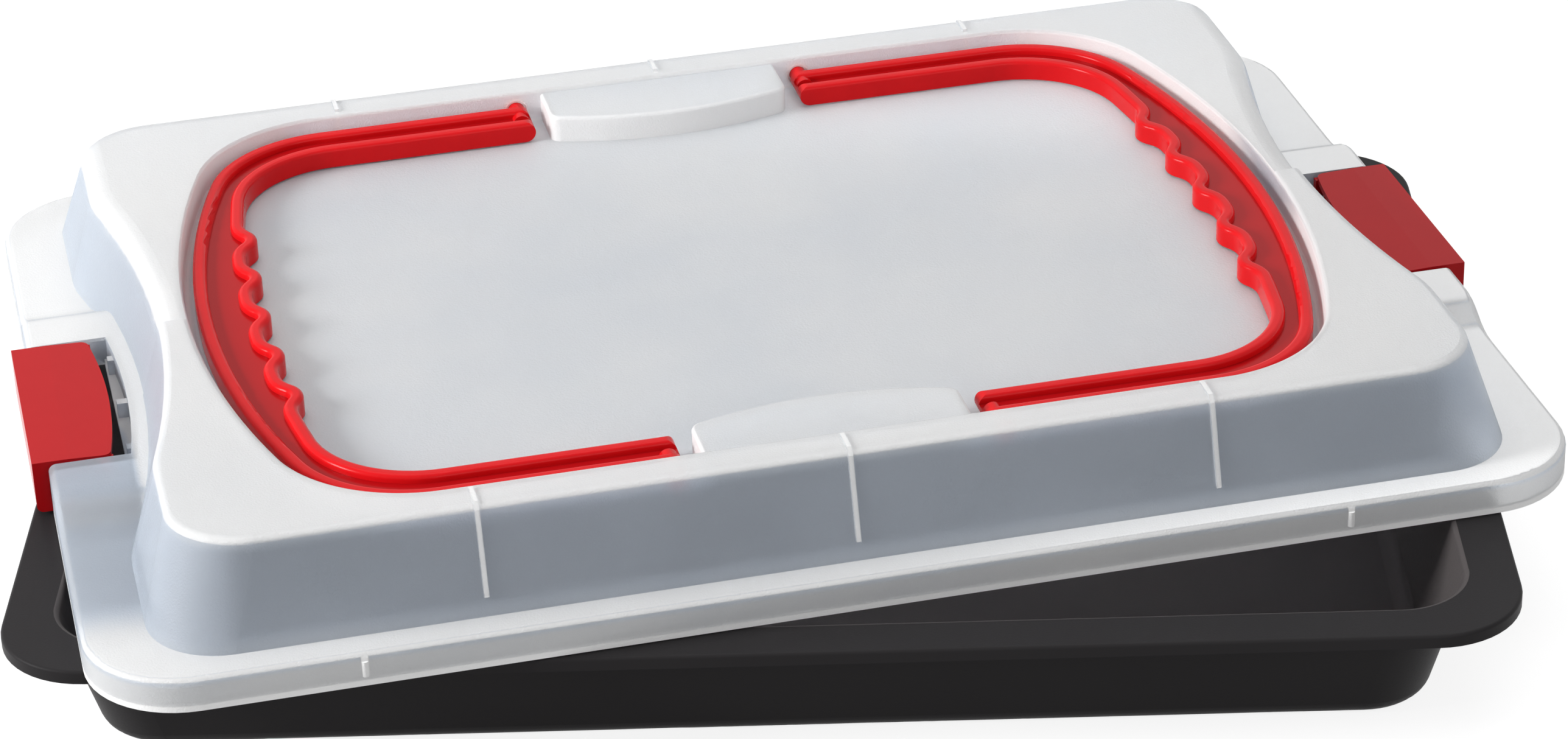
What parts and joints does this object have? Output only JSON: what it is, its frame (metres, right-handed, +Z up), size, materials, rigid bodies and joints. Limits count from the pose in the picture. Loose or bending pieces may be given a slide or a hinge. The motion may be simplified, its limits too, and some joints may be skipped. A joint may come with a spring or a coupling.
{
  "type": "baking tray with lid",
  "caption": "Oblong sheet-metal baking tray with a turned-aside moulded carrying lid that has folding handles in a recess and hinged end clasps.",
  "frame": {"origin": "centre of the tray's underside, where it stands on the table", "axes": "+X along the tray's length, +Y across it, +Z up; the lid lies on the rim turned 13.29 degrees anticlockwise about +Z"},
  "size_m": [0.4724, 0.3808, 0.081],
  "materials": {
    "coated_steel": "dark non-stick coat, satin",
    "frosted_plastic": "frosted translucent, finely textured",
    "red_plastic": "smooth gloss"
  },
  "bodies": {
    "tray": {"tray": "coated_steel"},
    "lid": {"lid": "frosted_plastic"},
    "handle_left": {"handle_left": "red_plastic"},
    "handle_right": {"handle_right": "red_plastic"},
    "clasp_left": {"clasp_left": "red_plastic"},
    "clasp_right": {"clasp_right": "red_plastic"}
  },
  "joints": [
    {"name": "lid_lift", "type": "slide", "parent": "tray", "child": "lid", "axis": [0, 0, 1], "range_m": [0, 0.15]},
    {"name": "handle_right_hinge", "type": "hinge", "parent": "lid", "child": "handle_right", "pos_m": [0.0408, 0.03022, 0.07375], "axis": [0.2299, -0.9732, 0], "range_deg": [0, 110]},
    {"name": "handle_left_hinge", "type": "hinge", "parent": "lid", "child": "handle_left", "pos_m": [-0.05, 0.00878, 0.07375], "axis": [-0.2299, 0.9732, 0], "range_deg": [0, 110]},
    {"name": "clasp_right_hinge", "type": "hinge", "parent": "lid", "child": "clasp_right", "pos_m": [0.18664, 0.06467, 0.0525], "axis": [0.2299, -0.9732, 0], "range_deg": [0, 105]},
    {"name": "clasp_left_hinge", "type": "hinge", "parent": "lid", "child": "clasp_left", "pos_m": [-0.19584, -0.02567, 0.0525], "axis": [-0.2299, 0.9732, 0], "range_deg": [0, 105]}
  ]
}
